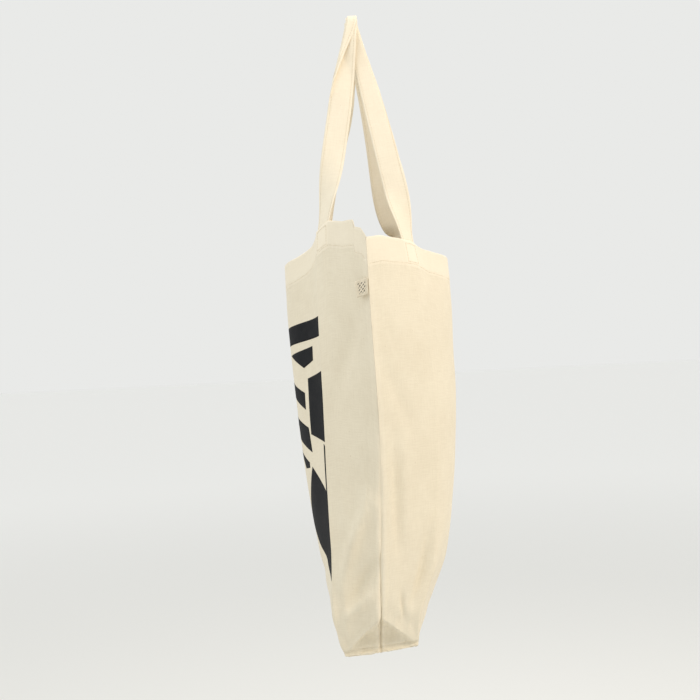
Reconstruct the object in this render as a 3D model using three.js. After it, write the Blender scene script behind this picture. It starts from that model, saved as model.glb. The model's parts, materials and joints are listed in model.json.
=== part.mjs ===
// A canvas tote bag, hanging open by its two handles. Millimetres, +Z up.
// The origin is the middle of the bottom. The front panel faces -Y, and the
// side seams are at +X (near) and -X (far). The bag is two cut panels, joined at
// the sides and the bottom, so every layer is a patch of the same two surfaces.

import * as THREE from 'three';
import { mergeVertices } from 'three/addons/utils/BufferGeometryUtils.js';

// Driving dimensions
const SEAM_HEIGHT = 425; // bottom to rim, along a side seam
const MOUTH_HALF_WIDTH = 158; // bag centre to a side seam, at the rim
const MOUTH_HALF_DEPTH = 96; // bag centre to the middle of a panel, at the rim
const BOTTOM_HALF_LENGTH = 130; // bag centre to a corner seam
const BOTTOM_HALF_DEPTH = 38; // half the width of the boxed bottom
const CORNER_RISE = 38; // height at which the boxed corner leaves the side seam
const HANDLE_RISE = 287; // rim at a side seam to the top of the front handle
const HANDLE_PULL_SHORT = 32; // how far the shorter leg of a handle lifts the rim
const HANDLE_PULL_LONG = 7; // how far the longer leg lifts it
const STRAP_WIDTH = 27;
const STRAP_THICKNESS = 1.7;
const STRAP_BUNCHED_WIDTH = 12; // where the handle is bunched over a hook
const HOOK_RADIUS = 5; // bend of the back handle over a hook
const HANDLE_NEST = 1.4; // space between the two handles over the hook
const HANDLE_SPLIT = 2.5; // each handle sits this far to its own side on the hook
const END_RISE = 1; // a sewn handle end stands this far above the rim
const LOOP_RISE = 5; // lowest edge of a handle's loop above the rim
const TWIST_LENGTH = 110; // it turns from the hem to face sideways over this length
const CLOTH = 0.9; // canvas thickness
const HEM_DEPTH = 30; // the turned-in hem, two layers of canvas
const GAP = 0.3; // between pieces that touch
const ALLOWANCE = 9; // seam allowance standing inside the bag
const SEAM_INSET = 4 * CLOTH; // clears both walls where they meet at an angle
const THREAD = 0.8; // bead of a row of stitching
const STITCH_DROP = HEM_DEPTH - 3; // rim to the row of hem stitching
const LABEL_WIDTH = 13.5;
const LABEL_HEIGHT = 17;
const LABEL_DROP = HEM_DEPTH + 11; // rim to the top of the side label, along the seam
const LABEL_THICKNESS = 0.6;
const INK = 0.3; // thickness of the printed film

const CANVAS = { color: 0xf3e6ca, roughness: 0.9, metalness: 0 };
const WEBBING = { color: 0xf6ead0, roughness: 0.88, metalness: 0 };
const THREAD_FINISH = { color: 0xefe2c4, roughness: 0.7, metalness: 0 };
const INK_FINISH = { color: 0x15171b, roughness: 0.6, metalness: 0 };
const LABEL_FINISH = { color: 0xe8dcc0, roughness: 0.8, metalness: 0 };

// Where each point of the outline lies between a side seam (0) and the middle of a panel (1)
const CREASE_SHARE = 0.54;
const STRAP_FROM = 0.4;
const STRAP_TO = 0.54;
const QUARTER = [0, 0.07, 0.13, 0.22, 0.31, STRAP_FROM, 0.47, STRAP_TO, 0.6, 0.66, 0.75, 0.87, 1];
const PRINT_ROWS = [0.82, 0.68, 0.52, 0.36, 0.2]; // heights, as shares of the rim height
const WALL_ROWS = [...PRINT_ROWS, 0.145];
const LEG_STEPS = [0, 0.05, 0.1, 0.15, 0.2, 0.25, 0.3, 0.36, 0.42, 0.48, 0.56, 0.64, 0.72, 0.79, 0.86, 0.93];
const TURN_STEPS = 6;

// Outline of the walls at a few heights, as shares of the rim height. The crease is
// the fold that runs down the front panel, and on the back its soft shoulder.
const LEVELS = [0, CORNER_RISE / SEAM_HEIGHT, 0.2, 0.5, 0.85, 1];
const SEAM_OUT = [BOTTOM_HALF_LENGTH, 146, 147, 150, 156, MOUTH_HALF_WIDTH];
const FRONT = {
  side: -1,
  creaseOut: [BOTTOM_HALF_LENGTH, 134, 128, 107, 84, 70],
  creaseDepth: [BOTTOM_HALF_DEPTH, 49, 52, 53, 55, 53],
  middleDepth: [BOTTOM_HALF_DEPTH, 58, 70, 86, 95, MOUTH_HALF_DEPTH],
  pleat: [0, 3, 6, 12, 4, 1],
};
const BACK = {
  side: 1,
  creaseOut: [BOTTOM_HALF_LENGTH, 130, 118, 96, 84, 70],
  creaseDepth: [BOTTOM_HALF_DEPTH, 46, 56, 66, 62, 53],
  middleDepth: [BOTTOM_HALF_DEPTH, 62, 77, 95, 99, MOUTH_HALF_DEPTH + 1],
  pleat: [0, 10, 16, 24, 18, 10],
};

// Smooth value between the entries of a short table
function between(levels, values, at) {
  const last = levels.length - 1;
  let i = 0;
  while (i < last - 1 && at > levels[i + 1]) i += 1;
  const span = levels[i + 1] - levels[i];
  const slopeAt = (k) => {
    const a = Math.max(k - 1, 0);
    const b = Math.min(k + 1, last);
    return (values[b] - values[a]) / (levels[b] - levels[a]);
  };
  const t = (at - levels[i]) / span;
  const rise = values[i + 1] - values[i];
  const start = slopeAt(i) * span;
  const end = slopeAt(i + 1) * span;
  return values[i] + t * (start + t * (3 * rise - 2 * start - end + t * (start + end - 2 * rise)));
}

// Straight steps between the entries of a short table
function stepped(levels, values, at) {
  let i = 0;
  while (i < levels.length - 2 && at > levels[i + 1]) i += 1;
  const t = (at - levels[i]) / (levels[i + 1] - levels[i]);
  return values[i] + t * (values[i + 1] - values[i]);
}

function cubic(a, b, c, d, t) {
  const s = 1 - t;
  return s * s * s * a + 3 * s * s * t * b + 3 * s * t * t * c + t * t * t * d;
}

// The rim is lifted where a handle pulls it, and sags in the middle of each panel
const LIFT_AT = [0, 0.13, STRAP_FROM, STRAP_TO, 0.66, 1];
const LIFT_SHARE = [0, 0.69, 1, 0.75, 0.3, 0];
const MIDDLE_SAG = 6;

function rimHeight(panel, share, end) {
  const pull = end === -panel.side ? HANDLE_PULL_SHORT : HANDLE_PULL_LONG;
  const sag = MIDDLE_SAG * share ** 3;
  return SEAM_HEIGHT + pull * stepped(LIFT_AT, LIFT_SHARE, share) - sag;
}

// A point of a panel's wall: `end` is +1 on the near half and -1 on the far half,
// `share` runs from the side seam to the middle, and `height` is a share of the rim
function wallPoint(panel, share, end, height) {
  const seamX = between(LEVELS, SEAM_OUT, height);
  const creaseX = between(LEVELS, panel.creaseOut, height);
  const creaseY = between(LEVELS, panel.creaseDepth, height);
  const middleY = between(LEVELS, panel.middleDepth, height);
  const pleat = between(LEVELS, panel.pleat, height);
  let x;
  let y;
  if (share <= CREASE_SHARE) {
    const t = share / CREASE_SHARE;
    x = seamX + t * (creaseX - seamX);
    y = t * creaseY;
  } else {
    const t = (share - CREASE_SHARE) / (1 - CREASE_SHARE);
    x = cubic(creaseX, creaseX * 0.66, creaseX * 0.4, 0, t);
    y = cubic(creaseY, Math.min(creaseY + pleat, middleY), middleY, middleY, t);
  }
  const z = rimHeight(panel, share, end) * height;
  return new THREE.Vector3(end * x, panel.side * (y + GAP / 2), z);
}

// Columns run along a panel from the near seam, over the middle, to the far seam
function panelColumns() {
  const near = QUARTER.map((share) => ({ share, end: 1 }));
  const far = QUARTER.slice(0, -1).reverse().map((share) => ({ share, end: -1 }));
  return [...near, ...far];
}

// Level direction into the bag, square to the wall
function inward(panel, column, height) {
  if (column.share === 0) return new THREE.Vector3(-column.end, 0, 0);
  const reach = 0.01;
  const from = wallPoint(panel, Math.max(column.share - reach, 0), column.end, height);
  const to = wallPoint(panel, Math.min(column.share + reach, 1), column.end, height);
  const along = to.sub(from);
  if (column.share === 1) along.y = 0;
  const square = new THREE.Vector3(along.y, -along.x, 0).normalize();
  return square.multiplyScalar(Math.sign(-panel.side * square.y) || -column.end * Math.sign(square.x));
}

function meshOf(name, finish, positions, triangles) {
  const loose = new THREE.BufferGeometry();
  loose.setAttribute('position', new THREE.Float32BufferAttribute(positions.flatMap((p) => p.toArray()), 3));
  loose.setIndex(triangles.flat());
  const merged = mergeVertices(loose, 1e-4);
  const index = merged.index.array;
  const kept = [];
  for (let i = 0; i < index.length; i += 3) {
    const [a, b, c] = [index[i], index[i + 1], index[i + 2]];
    if (a !== b && b !== c && c !== a) kept.push(a, b, c);
  }
  merged.setIndex(kept);
  facesOut(merged);
  merged.computeVertexNormals();
  const mesh = new THREE.Mesh(merged, new THREE.MeshStandardMaterial(finish));
  mesh.name = name;
  return mesh;
}

// Turns every triangle over if the closed mesh encloses a negative volume
function facesOut(geometry) {
  const index = geometry.index.array;
  const at = geometry.attributes.position;
  const corner = (k) => new THREE.Vector3().fromBufferAttribute(at, index[k]);
  let volume = 0;
  for (let i = 0; i < index.length; i += 3) volume += corner(i).dot(corner(i + 1).cross(corner(i + 2)));
  if (volume > 0) return;
  for (let i = 0; i < index.length; i += 3) [index[i + 1], index[i + 2]] = [index[i + 2], index[i + 1]];
}

// Closed slab between two grids of points with the same rows and columns
function slab(name, finish, outer, inner) {
  const rows = outer.length;
  const columns = outer[0].length;
  const positions = [...outer.flat(), ...inner.flat()];
  const id = (layer, r, c) => layer * rows * columns + r * columns + c;
  const triangles = [];
  const quad = (a, b, c, d) => triangles.push([a, b, c], [a, c, d]);
  for (let r = 0; r < rows - 1; r += 1) {
    for (let c = 0; c < columns - 1; c += 1) {
      quad(id(0, r, c), id(0, r + 1, c), id(0, r + 1, c + 1), id(0, r, c + 1));
      quad(id(1, r, c), id(1, r, c + 1), id(1, r + 1, c + 1), id(1, r + 1, c));
    }
  }
  for (let c = 0; c < columns - 1; c += 1) {
    quad(id(0, 0, c), id(0, 0, c + 1), id(1, 0, c + 1), id(1, 0, c));
    quad(id(0, rows - 1, c), id(1, rows - 1, c), id(1, rows - 1, c + 1), id(0, rows - 1, c + 1));
  }
  for (let r = 0; r < rows - 1; r += 1) {
    quad(id(0, r, 0), id(1, r, 0), id(1, r + 1, 0), id(0, r + 1, 0));
    quad(id(0, r, columns - 1), id(0, r + 1, columns - 1), id(1, r + 1, columns - 1), id(1, r, columns - 1));
  }
  return meshOf(name, finish, positions, triangles);
}

// Rows of a patch: each gives a column's height as a share of the rim there
const below = (panel, drop) => (column) => 1 - drop / rimHeight(panel, column.share, column.end);
const level = (height) => () => height;

// Point on a panel's wall, moved `depth` millimetres into the bag
function layerPoint(panel, column, height, depth) {
  const point = wallPoint(panel, column.share, column.end, height);
  return point.addScaledVector(inward(panel, column, height), depth);
}

// The hem is straight from the rim down, so its points lie between its two edges
function hemPoint(panel, column, drop, depth) {
  const rim = layerPoint(panel, column, 1, depth);
  const foot = layerPoint(panel, column, below(panel, HEM_DEPTH)(column), depth);
  return rim.lerp(foot, drop / HEM_DEPTH);
}

// Patch of the hem, from `outside` to `inside` millimetres into the bag
function hemPatch(name, finish, panel, columns, drops, outside, inside) {
  const layer = (depth) => drops.map((drop) => columns.map((column) => hemPoint(panel, column, drop, depth)));
  return slab(name, finish, layer(outside), layer(inside));
}

// One cut panel: doubled hem, wall, and its half of the bottom
function panelMesh(name, panel) {
  const columns = panelColumns();
  const cornerTop = LEVELS[1];
  const rows = [
    { height: level(1), thick: 2 * CLOTH },
    { height: below(panel, HEM_DEPTH), thick: 2 * CLOTH },
    { height: below(panel, HEM_DEPTH + 1), thick: CLOTH },
    ...[...WALL_ROWS, cornerTop, cornerTop / 2, 0].map((height) => ({ height: level(height), thick: CLOTH })),
  ];
  const wall = (row, depth) => columns.map((column) => (
    layerPoint(panel, column, row.height(column), depth * row.thick)
  ));
  const outer = rows.map((row) => wall(row, 0));
  const inner = rows.map((row) => wall(row, 1));
  const foot = inner[inner.length - 1];
  foot.forEach((point) => point.setZ(CLOTH));
  const middle = (ring) => ring.map((point) => {
    const share = (Math.abs(point.y) - GAP / 2) / BOTTOM_HALF_DEPTH;
    return new THREE.Vector3(point.x * (1 - 0.3 * share), panel.side * (GAP / 2), point.z);
  });
  outer.push(middle(outer[outer.length - 1]));
  inner.push(middle(foot));
  return slab(name, CANVAS, outer, inner);
}

// Strip of seam allowance standing inside the bag along a side seam
function sideSeam(name, end) {
  const heights = [0.93, 0.8, 0.65, 0.5, 0.35, 0.22, 0.14];
  const edge = (depth, y) => heights.map((height) => {
    const x = between(LEVELS, SEAM_OUT, height) - SEAM_INSET - depth;
    return new THREE.Vector3(end * x, y, SEAM_HEIGHT * height);
  });
  const face = (y) => [edge(GAP, y), edge(GAP + ALLOWANCE, y)];
  return slab(name, CANVAS, face(-CLOTH), face(CLOTH));
}

function strip(name, lengthX, lengthY, centre) {
  const geometry = new THREE.BoxGeometry(lengthX, lengthY, ALLOWANCE);
  const mesh = new THREE.Mesh(geometry, new THREE.MeshStandardMaterial(CANVAS));
  mesh.position.set(centre, 0, CLOTH + GAP + ALLOWANCE / 2);
  mesh.name = name;
  return mesh;
}

// Allowances along the bottom and across the two boxed corners
function bottomSeams() {
  const cornerX = BOTTOM_HALF_LENGTH - CLOTH - GAP - CLOTH;
  const cornerLength = 2 * (BOTTOM_HALF_DEPTH - 2 * CLOTH - GAP);
  const bottomLength = 2 * (cornerX - CLOTH - GAP);
  return [
    strip('bottom_seam', bottomLength, 2 * CLOTH, 0),
    strip('near_corner_seam', 2 * CLOTH, cornerLength, cornerX),
    strip('far_corner_seam', 2 * CLOTH, cornerLength, -cornerX),
  ];
}

// One row of stitching on the outside of a panel
function hemStitching(name, panel) {
  const columns = panelColumns().slice(1, -1);
  const drops = [STITCH_DROP, STITCH_DROP + THREAD];
  return hemPatch(name, THREAD_FINISH, panel, columns, drops, -GAP - THREAD / 2, -GAP);
}

const STRAP_SHARES = [STRAP_FROM + 0.005, (STRAP_FROM + STRAP_TO) / 2, STRAP_TO - 0.005];

// Columns in the panel's own order, so that twisted patches lie parallel
function columnsOf(shares, end) {
  const columns = shares.map((share) => ({ share, end }));
  return end === 1 ? columns : columns.reverse();
}

// The end of a handle, sewn flat inside the hem
function handleEnd(name, panel, end) {
  const outside = 2 * CLOTH + GAP;
  const drops = [-END_RISE, HEM_DEPTH - 2];
  return hemPatch(name, WEBBING, panel, columnsOf(STRAP_SHARES, end), drops, outside, outside + STRAP_THICKNESS);
}

// The box of stitching that holds a handle end, seen outside the hem
function handleStitching(name, panel, end) {
  const inset = 0.02;
  const from = STRAP_FROM + inset;
  const to = STRAP_TO - inset;
  const top = 4;
  const foot = STITCH_DROP - GAP - 2;
  const thin = 0.007;
  const shares = [from, from + thin, (from + to) / 2, to - thin, to];
  const drops = [top, top + THREAD, foot - THREAD, foot];
  const point = (column, drop, depth) => hemPoint(panel, column, drop, depth);
  return frameOf(name, columnsOf(shares, end), drops, point);
}

// Rectangular frame of thread: a slab whose middle cells are left open
function frameOf(name, along, drops, point) {
  const depths = [-GAP - THREAD / 2, -GAP];
  const columns = along.length;
  const rows = drops.length;
  const layer = (depth) => drops.flatMap((drop) => along.map((column) => point(column, drop, depth)));
  const positions = depths.flatMap(layer);
  const id = (layer, r, c) => layer * rows * columns + r * columns + c;
  const solid = (r, c) => {
    const inside = r >= 0 && c >= 0 && r < rows - 1 && c < columns - 1;
    return inside && (r === 0 || c === 0 || r === rows - 2 || c === columns - 2);
  };
  const triangles = [];
  const quad = (a, b, c, d) => triangles.push([a, b, c], [a, c, d]);
  for (let r = 0; r < rows - 1; r += 1) {
    for (let c = 0; c < columns - 1; c += 1) {
      if (!solid(r, c)) continue;
      quad(id(0, r, c), id(0, r + 1, c), id(0, r + 1, c + 1), id(0, r, c + 1));
      quad(id(1, r, c), id(1, r, c + 1), id(1, r + 1, c + 1), id(1, r + 1, c));
      if (!solid(r - 1, c)) quad(id(0, r, c), id(0, r, c + 1), id(1, r, c + 1), id(1, r, c));
      if (!solid(r + 1, c)) quad(id(0, r + 1, c), id(1, r + 1, c), id(1, r + 1, c + 1), id(0, r + 1, c + 1));
      if (!solid(r, c - 1)) quad(id(0, r, c), id(1, r, c), id(1, r + 1, c), id(0, r + 1, c));
      if (!solid(r, c + 1)) quad(id(0, r, c + 1), id(0, r + 1, c + 1), id(1, r + 1, c + 1), id(1, r, c + 1));
    }
  }
  return meshOf(name, THREAD_FINISH, positions, triangles);
}

// Where a handle leaves the hem: the middle of the strap, just inside the rim
function strapRoot(panel, end) {
  const share = (STRAP_FROM + STRAP_TO) / 2;
  return layerPoint(panel, { share, end }, 1, 2 * CLOTH + GAP + STRAP_THICKNESS / 2);
}

// Middle line of a handle: straight legs and a half turn over the hook
function handleRoute(panel, bendRadius, topHeight) {
  const near = strapRoot(panel, 1);
  const far = strapRoot(panel, -1);
  near.z += LOOP_RISE;
  far.z += LOOP_RISE;
  const top = new THREE.Vector3(0, panel.side * HANDLE_SPLIT, topHeight - bendRadius);
  const tangentAngle = (leg) => {
    const out = Math.abs(leg.x);
    const drop = top.z - leg.z;
    return Math.acos(bendRadius / Math.hypot(out, drop)) - Math.atan2(drop, out);
  };
  const nearAngle = tangentAngle(near);
  const farAngle = tangentAngle(far);
  const points = [];
  const leg = (from, to) => LEG_STEPS.map((t) => from.clone().lerp(to, t));
  const turn = (angle) => new THREE.Vector3(Math.cos(angle), 0, Math.sin(angle)).multiplyScalar(bendRadius).add(top);
  points.push(...leg(near, turn(nearAngle)));
  for (let i = 0; i <= TURN_STEPS; i += 1) {
    const t = i / TURN_STEPS;
    points.push(turn(nearAngle + t * (Math.PI - farAngle - nearAngle)));
  }
  points.push(...leg(far, turn(Math.PI - farAngle)).reverse());
  return points;
}

// A strap swept along its route: flat at the hem, turned sideways, and bunched over the
// hook. It opens out as the two handles part, and never reaches past the middle of the bag
// once open. Its ends follow the slope of the rim.
function handleMesh(name, panel, route) {
  const count = route.length;
  const rings = route.map((point, i) => {
    const before = route[Math.max(i - 1, 0)];
    const after = route[Math.min(i + 1, count - 1)];
    const along = after.clone().sub(before).normalize();
    const end = Math.min(i, count - 1 - i) === i ? 1 : -1;
    const root = end === 1 ? route[0] : route[count - 1];
    const turned = THREE.MathUtils.smoothstep(point.distanceTo(root), 0, TWIST_LENGTH) * (Math.PI / 2);
    const width = THREE.MathUtils.clamp(2 * Math.abs(point.y) - GAP, STRAP_BUNCHED_WIDTH, STRAP_WIDTH);
    const opened = (width - STRAP_BUNCHED_WIDTH) / (STRAP_WIDTH - STRAP_BUNCHED_WIDTH);
    const thickness = THREE.MathUtils.lerp(2 * STRAP_THICKNESS, STRAP_THICKNESS, opened);
    const flat = new THREE.Vector3(-end * Math.cos(turned), -Math.sin(turned), 0);
    const side = flat.addScaledVector(along, -flat.dot(along)).normalize();
    const face = new THREE.Vector3().crossVectors(along, side);
    const at = (w, t) => point.clone().addScaledVector(side, w * width).addScaledVector(face, t * thickness);
    const ring = [at(-0.5, -0.5), at(0.5, -0.5), at(0.5, 0.5), at(-0.5, 0.5)];
    if (point === root) {
      const outerEdge = rimHeight(panel, STRAP_FROM, end) + LOOP_RISE;
      const innerEdge = rimHeight(panel, STRAP_TO, end) + LOOP_RISE;
      [outerEdge, innerEdge, innerEdge, outerEdge].forEach((z, k) => ring[k].setZ(z));
    }
    return ring;
  });
  return tubeOf(name, rings);
}

// A tube of four-cornered rings. Opposite faces are cut along the same diagonal, so a thin
// strap keeps its thickness where it twists.
function tubeOf(name, rings) {
  const sides = rings[0].length;
  const triangles = [];
  const last = (rings.length - 1) * sides;
  for (let r = 0; r < rings.length - 1; r += 1) {
    for (let k = 0; k < sides; k += 1) {
      const [a, b] = [r * sides + k, r * sides + ((k + 1) % sides)];
      const [c, d] = [b + sides, a + sides];
      if (k < sides / 2) triangles.push([a, b, c], [a, c, d]);
      else triangles.push([a, b, d], [b, c, d]);
    }
  }
  for (let k = 1; k < sides - 1; k += 1) {
    triangles.push([0, k + 1, k], [last, last + k, last + k + 1]);
  }
  return meshOf(name, WEBBING, rings.flat(), triangles);
}

// Folded label caught in the near side seam, standing a little off the front half
function sideLabel() {
  const lift = THREE.MathUtils.degToRad(14);
  const height = 1 - (LABEL_DROP + LABEL_HEIGHT / 2) / SEAM_HEIGHT;
  const seam = wallPoint(FRONT, 0, 1, height);
  const crease = wallPoint(FRONT, CREASE_SHARE, 1, height);
  const wallAngle = Math.atan2(crease.y - seam.y, crease.x - seam.x);
  const geometry = new THREE.BoxGeometry(LABEL_WIDTH, LABEL_THICKNESS, LABEL_HEIGHT);
  geometry.translate(LABEL_WIDTH / 2 + LABEL_THICKNESS, 0, 0);
  const mesh = new THREE.Mesh(geometry, new THREE.MeshStandardMaterial(LABEL_FINISH));
  mesh.position.set(seam.x + 2 * GAP, 0, seam.z);
  mesh.rotation.z = wallAngle + lift;
  mesh.name = 'side_label';
  return mesh;
}

// Film of ink between the two creases of the front panel
function frontPrint() {
  const shares = QUARTER.filter((share) => share > STRAP_TO);
  const near = shares.map((share) => ({ share, end: 1 }));
  const far = shares.slice(0, -1).reverse().map((share) => ({ share, end: -1 }));
  const layer = (depth) => PRINT_ROWS.map((height) => (
    [...near, ...far].map((column) => layerPoint(FRONT, column, height, depth))
  ));
  return slab('front_print', INK_FINISH, layer(-GAP - INK), layer(-GAP));
}

function handles() {
  const frontTop = SEAM_HEIGHT + HANDLE_RISE;
  const backTop = frontTop - 2 * STRAP_THICKNESS - HANDLE_NEST;
  const middle = STRAP_THICKNESS; // half of the doubled strap over the hook
  const backBend = HOOK_RADIUS + middle;
  const frontBend = backBend + 2 * STRAP_THICKNESS + HANDLE_NEST;
  return [
    handleMesh('front_handle', FRONT, handleRoute(FRONT, frontBend, frontTop - middle)),
    handleMesh('back_handle', BACK, handleRoute(BACK, backBend, backTop - middle)),
  ];
}

const bag = new THREE.Group();
bag.add(
  panelMesh('front_panel', FRONT),
  panelMesh('back_panel', BACK),
  sideSeam('near_side_seam', 1),
  sideSeam('far_side_seam', -1),
  ...bottomSeams(),
  hemStitching('front_hem_stitching', FRONT),
  hemStitching('back_hem_stitching', BACK),
  ...handles(),
  handleEnd('front_handle_near_end', FRONT, 1),
  handleEnd('front_handle_far_end', FRONT, -1),
  handleEnd('back_handle_near_end', BACK, 1),
  handleEnd('back_handle_far_end', BACK, -1),
  handleStitching('front_near_box_stitching', FRONT, 1),
  handleStitching('front_far_box_stitching', FRONT, -1),
  handleStitching('back_near_box_stitching', BACK, 1),
  handleStitching('back_far_box_stitching', BACK, -1),
  sideLabel(),
  frontPrint(),
);

export default bag;
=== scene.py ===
import json
import math
from collections import namedtuple

import bmesh
import bpy
import numpy as np
from mathutils import Matrix, Vector, noise


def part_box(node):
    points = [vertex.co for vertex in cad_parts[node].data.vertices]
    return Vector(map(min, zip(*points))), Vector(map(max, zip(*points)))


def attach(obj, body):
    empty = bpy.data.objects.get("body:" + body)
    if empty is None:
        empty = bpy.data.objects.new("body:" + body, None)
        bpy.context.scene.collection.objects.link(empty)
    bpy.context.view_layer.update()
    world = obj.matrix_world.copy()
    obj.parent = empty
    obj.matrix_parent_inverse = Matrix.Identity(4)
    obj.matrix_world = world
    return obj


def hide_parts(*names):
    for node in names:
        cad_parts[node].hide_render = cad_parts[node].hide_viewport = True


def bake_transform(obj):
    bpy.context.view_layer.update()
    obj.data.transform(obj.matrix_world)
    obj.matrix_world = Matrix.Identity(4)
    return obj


# A canvas tote bag, hanging open by both handles. Metres, +Z up, the printed front
# panel faces -Y, and the near and far side seams are at +X and -X.

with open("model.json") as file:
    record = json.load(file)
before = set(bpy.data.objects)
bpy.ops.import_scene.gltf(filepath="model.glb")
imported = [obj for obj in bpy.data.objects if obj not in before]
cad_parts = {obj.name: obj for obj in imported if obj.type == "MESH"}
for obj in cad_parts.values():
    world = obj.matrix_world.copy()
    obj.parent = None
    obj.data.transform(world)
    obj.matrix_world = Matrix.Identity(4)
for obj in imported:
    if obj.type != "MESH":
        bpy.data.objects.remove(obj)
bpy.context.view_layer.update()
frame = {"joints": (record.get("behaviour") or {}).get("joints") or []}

# The bag, as cut and sewn
SEAM_HEIGHT = 0.425  # bottom to rim, along a side seam
BOTTOM_HALF_LENGTH = 0.130
BOTTOM_HALF_DEPTH = 0.038
CORNER_RISE = 0.038  # height at which the boxed corner leaves the side seam
CANVAS = 0.0009  # thickness of one layer
HEM_DEPTH = 0.030
STITCH_DROP = 0.027  # rim to the row of hem stitching
THREAD = 0.00055
MIDDLE_SAG = 0.006
PANEL_HALF_WIDTH = 0.190  # along the cloth, from a side seam to the middle of a panel
CREASE_SHARE = 0.54  # the crease lies this far from the side seam to the middle
STRAP_FROM = 0.4
STRAP_TO = 0.54
ALLOWANCE = 0.009  # width of a seam allowance
SEAM_GAP = 0.00004  # half the gap between the two panels at a side seam

# The handles
STRAP_WIDTH = 0.027
STRAP_THICKNESS = 0.0017
HANDLE_TOP = 0.712
HOOK_RADIUS = 0.005
HANDLE_NEST = 0.0014
HANDLE_SPLIT = 0.0025
FOLD_LENGTH = 0.0048  # cloth taken up where a strap is folded over
STRAP_STEPS = 26  # points across a strap
EDGE_ROUNDING = 0.0009
TOPSTITCH_IN = 0.0028  # strap edge to its row of topstitching
TOPSTITCH_PITCH = 0.0034

# The hanging shape, at these shares of the height
LEVELS = [0, CORNER_RISE / SEAM_HEIGHT, 0.2, 0.5, 0.85, 1]
SEAM_OUT = [BOTTOM_HALF_LENGTH, 0.146, 0.147, 0.150, 0.156, 0.158]
SEAM_DRIFT = [-0.0050, -0.0035, -0.001, 0.0042, 0.001, 0]  # how far a side seam wanders to the back
FOOT_TILT = {1: 0.11, -1: -0.07}  # slope of a boxed corner's foot, from front to back
FOOT_RISE = 0.002
CORNER_HOLLOW = 0.010  # how far the boxed corner sinks in between its edges


def between(levels, values, at):
    """Smooth value between the entries of a short table."""
    last = len(levels) - 1
    i = 0
    while i < last - 1 and at > levels[i + 1]:
        i += 1
    span = levels[i + 1] - levels[i]

    def slope(k):
        a, b = max(k - 1, 0), min(k + 1, last)
        return (values[b] - values[a]) / (levels[b] - levels[a])

    t = (at - levels[i]) / span
    rise = values[i + 1] - values[i]
    start, end = slope(i) * span, slope(i + 1) * span
    return values[i] + t * (start + t * (3 * rise - 2 * start - end + t * (start + end - 2 * rise)))


def stepped(levels, values, at):
    """Straight steps between the entries of a short table."""
    return float(np.interp(at, levels, values))


def cubic(a, b, c, d, t):
    s = 1 - t
    return s * s * s * a + 3 * s * s * t * b + 3 * s * t * t * c + t * t * t * d


def smooth(low, high, at):
    t = min(max((at - low) / (high - low), 0), 1)
    return t * t * (3 - 2 * t)


def mound(distance, width):
    return math.exp(-((distance / width) ** 2))


def mix(a, b, t):
    return a + (b - a) * t


# ---------------------------------------------------------------- the two panels


FOLD_END = 0.35  # height of a fold at its two ends, as a share of its full height


class Fold:
    """A soft valley or ridge in the cloth, between two places (share, height above the bottom)."""

    def __init__(self, start, end, rise, width):
        self.start = np.array((start[0] * PANEL_HALF_WIDTH, start[1]))
        self.end = np.array((end[0] * PANEL_HALF_WIDTH, end[1]))
        self.rise = rise
        self.width = width

    def at(self, place):
        along = self.end - self.start
        t = float(np.dot(place - self.start, along) / np.dot(along, along))
        held = min(max(t, 0), 1)
        distance = float(np.linalg.norm(place - self.start - held * along))
        fade = mix(FOLD_END, 1, math.sin(math.pi * min(max(held, 0.02), 0.98)))
        return self.rise * fade * mound(distance, self.width)


def seam_drift(share, height):
    """How far the wandering side seam carries the cloth here to the back."""
    return between(LEVELS, SEAM_DRIFT, height) * max(1 - share / CREASE_SHARE, 0)


def in_corner(share):
    """1 on the boxed corner, 0 on the long side of the bottom."""
    return 1 - smooth(CREASE_SHARE - 0.02, CREASE_SHARE + 0.06, share)


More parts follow.
